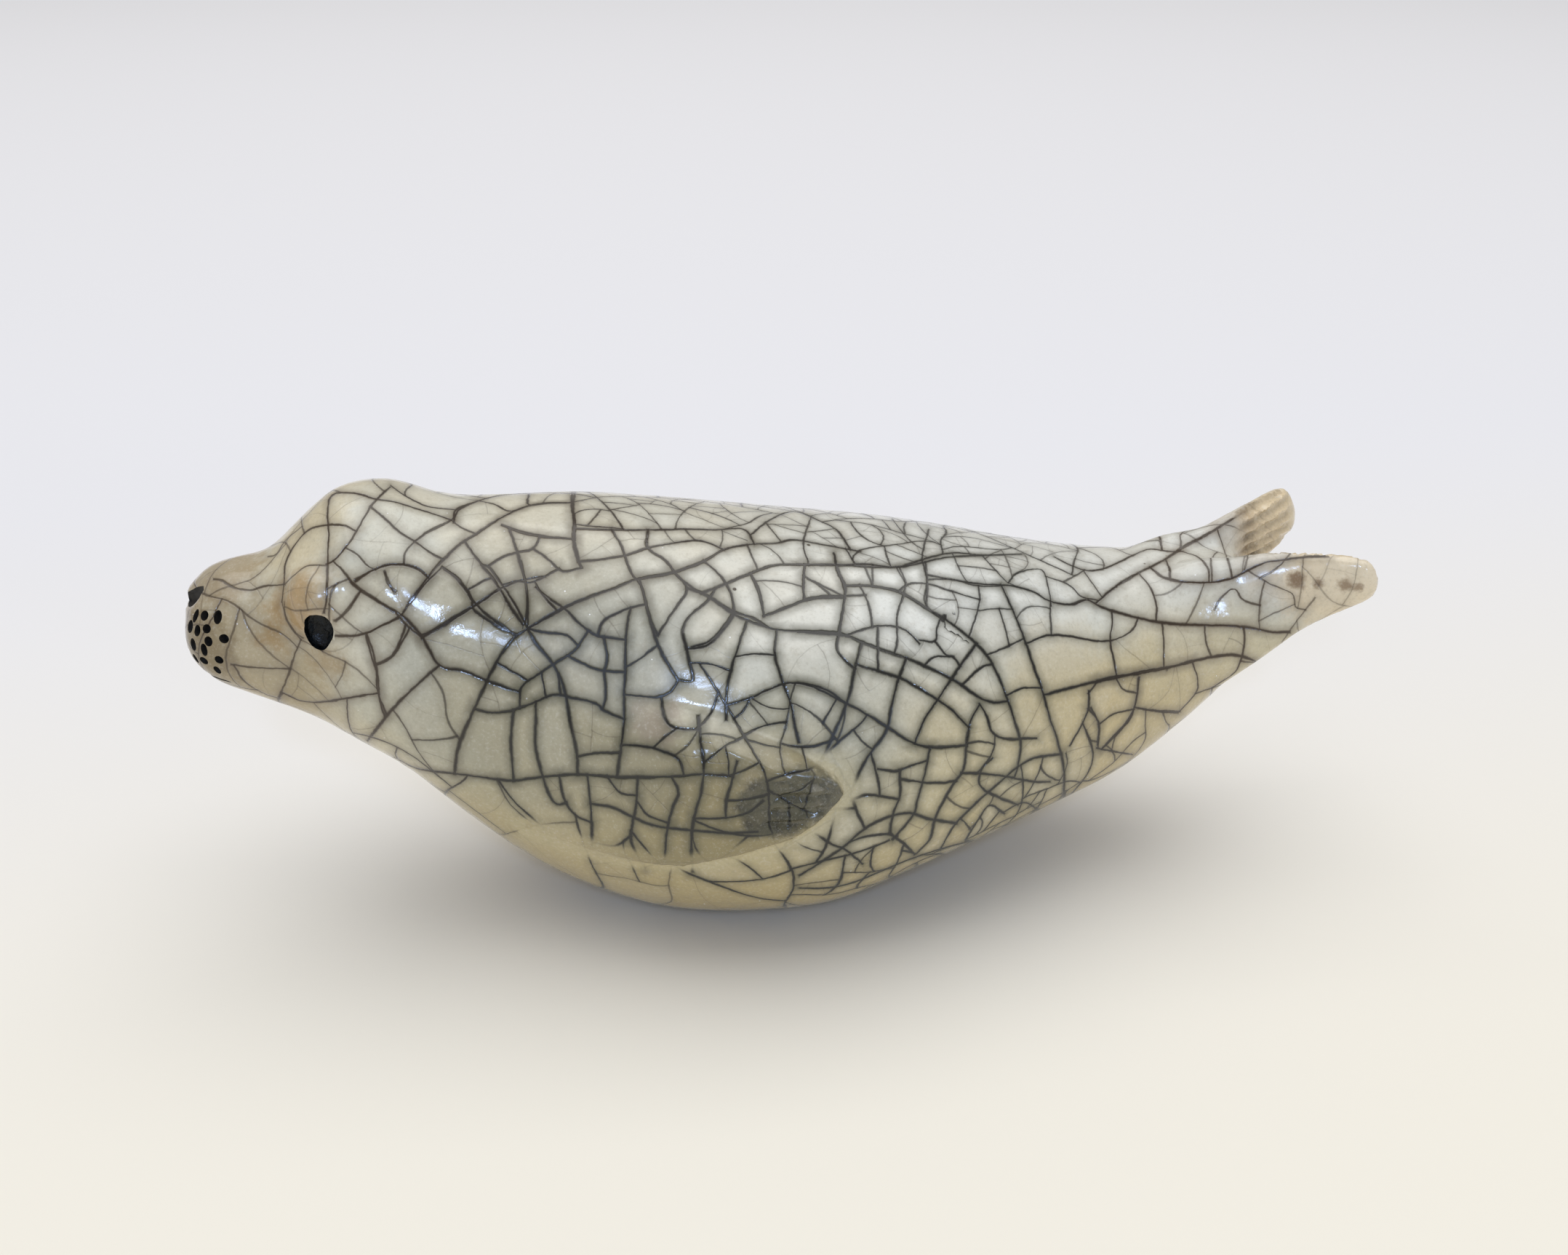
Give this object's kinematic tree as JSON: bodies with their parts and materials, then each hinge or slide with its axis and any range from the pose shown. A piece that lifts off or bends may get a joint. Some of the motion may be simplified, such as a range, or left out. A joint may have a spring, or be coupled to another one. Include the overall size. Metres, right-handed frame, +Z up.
{
  "type": "seal figurine",
  "caption": "Crackle glazed ceramic seal lying on its belly with head and hind flippers raised, a tabletop ornament that rests on a small flat under the belly.",
  "frame": {"origin": "on the small flat that the belly is ground to, on the seal's centre plane", "axes": "+X from the nose to the hind flippers, +Y to the seal's right side as it looks along -X, +Z up"},
  "size_m": [0.179, 0.0746, 0.0691],
  "materials": {
    "crackle_glaze": "gloss"
  },
  "bodies": {
    "root": {"seal": "crackle_glaze"}
  },
  "joints": []
}
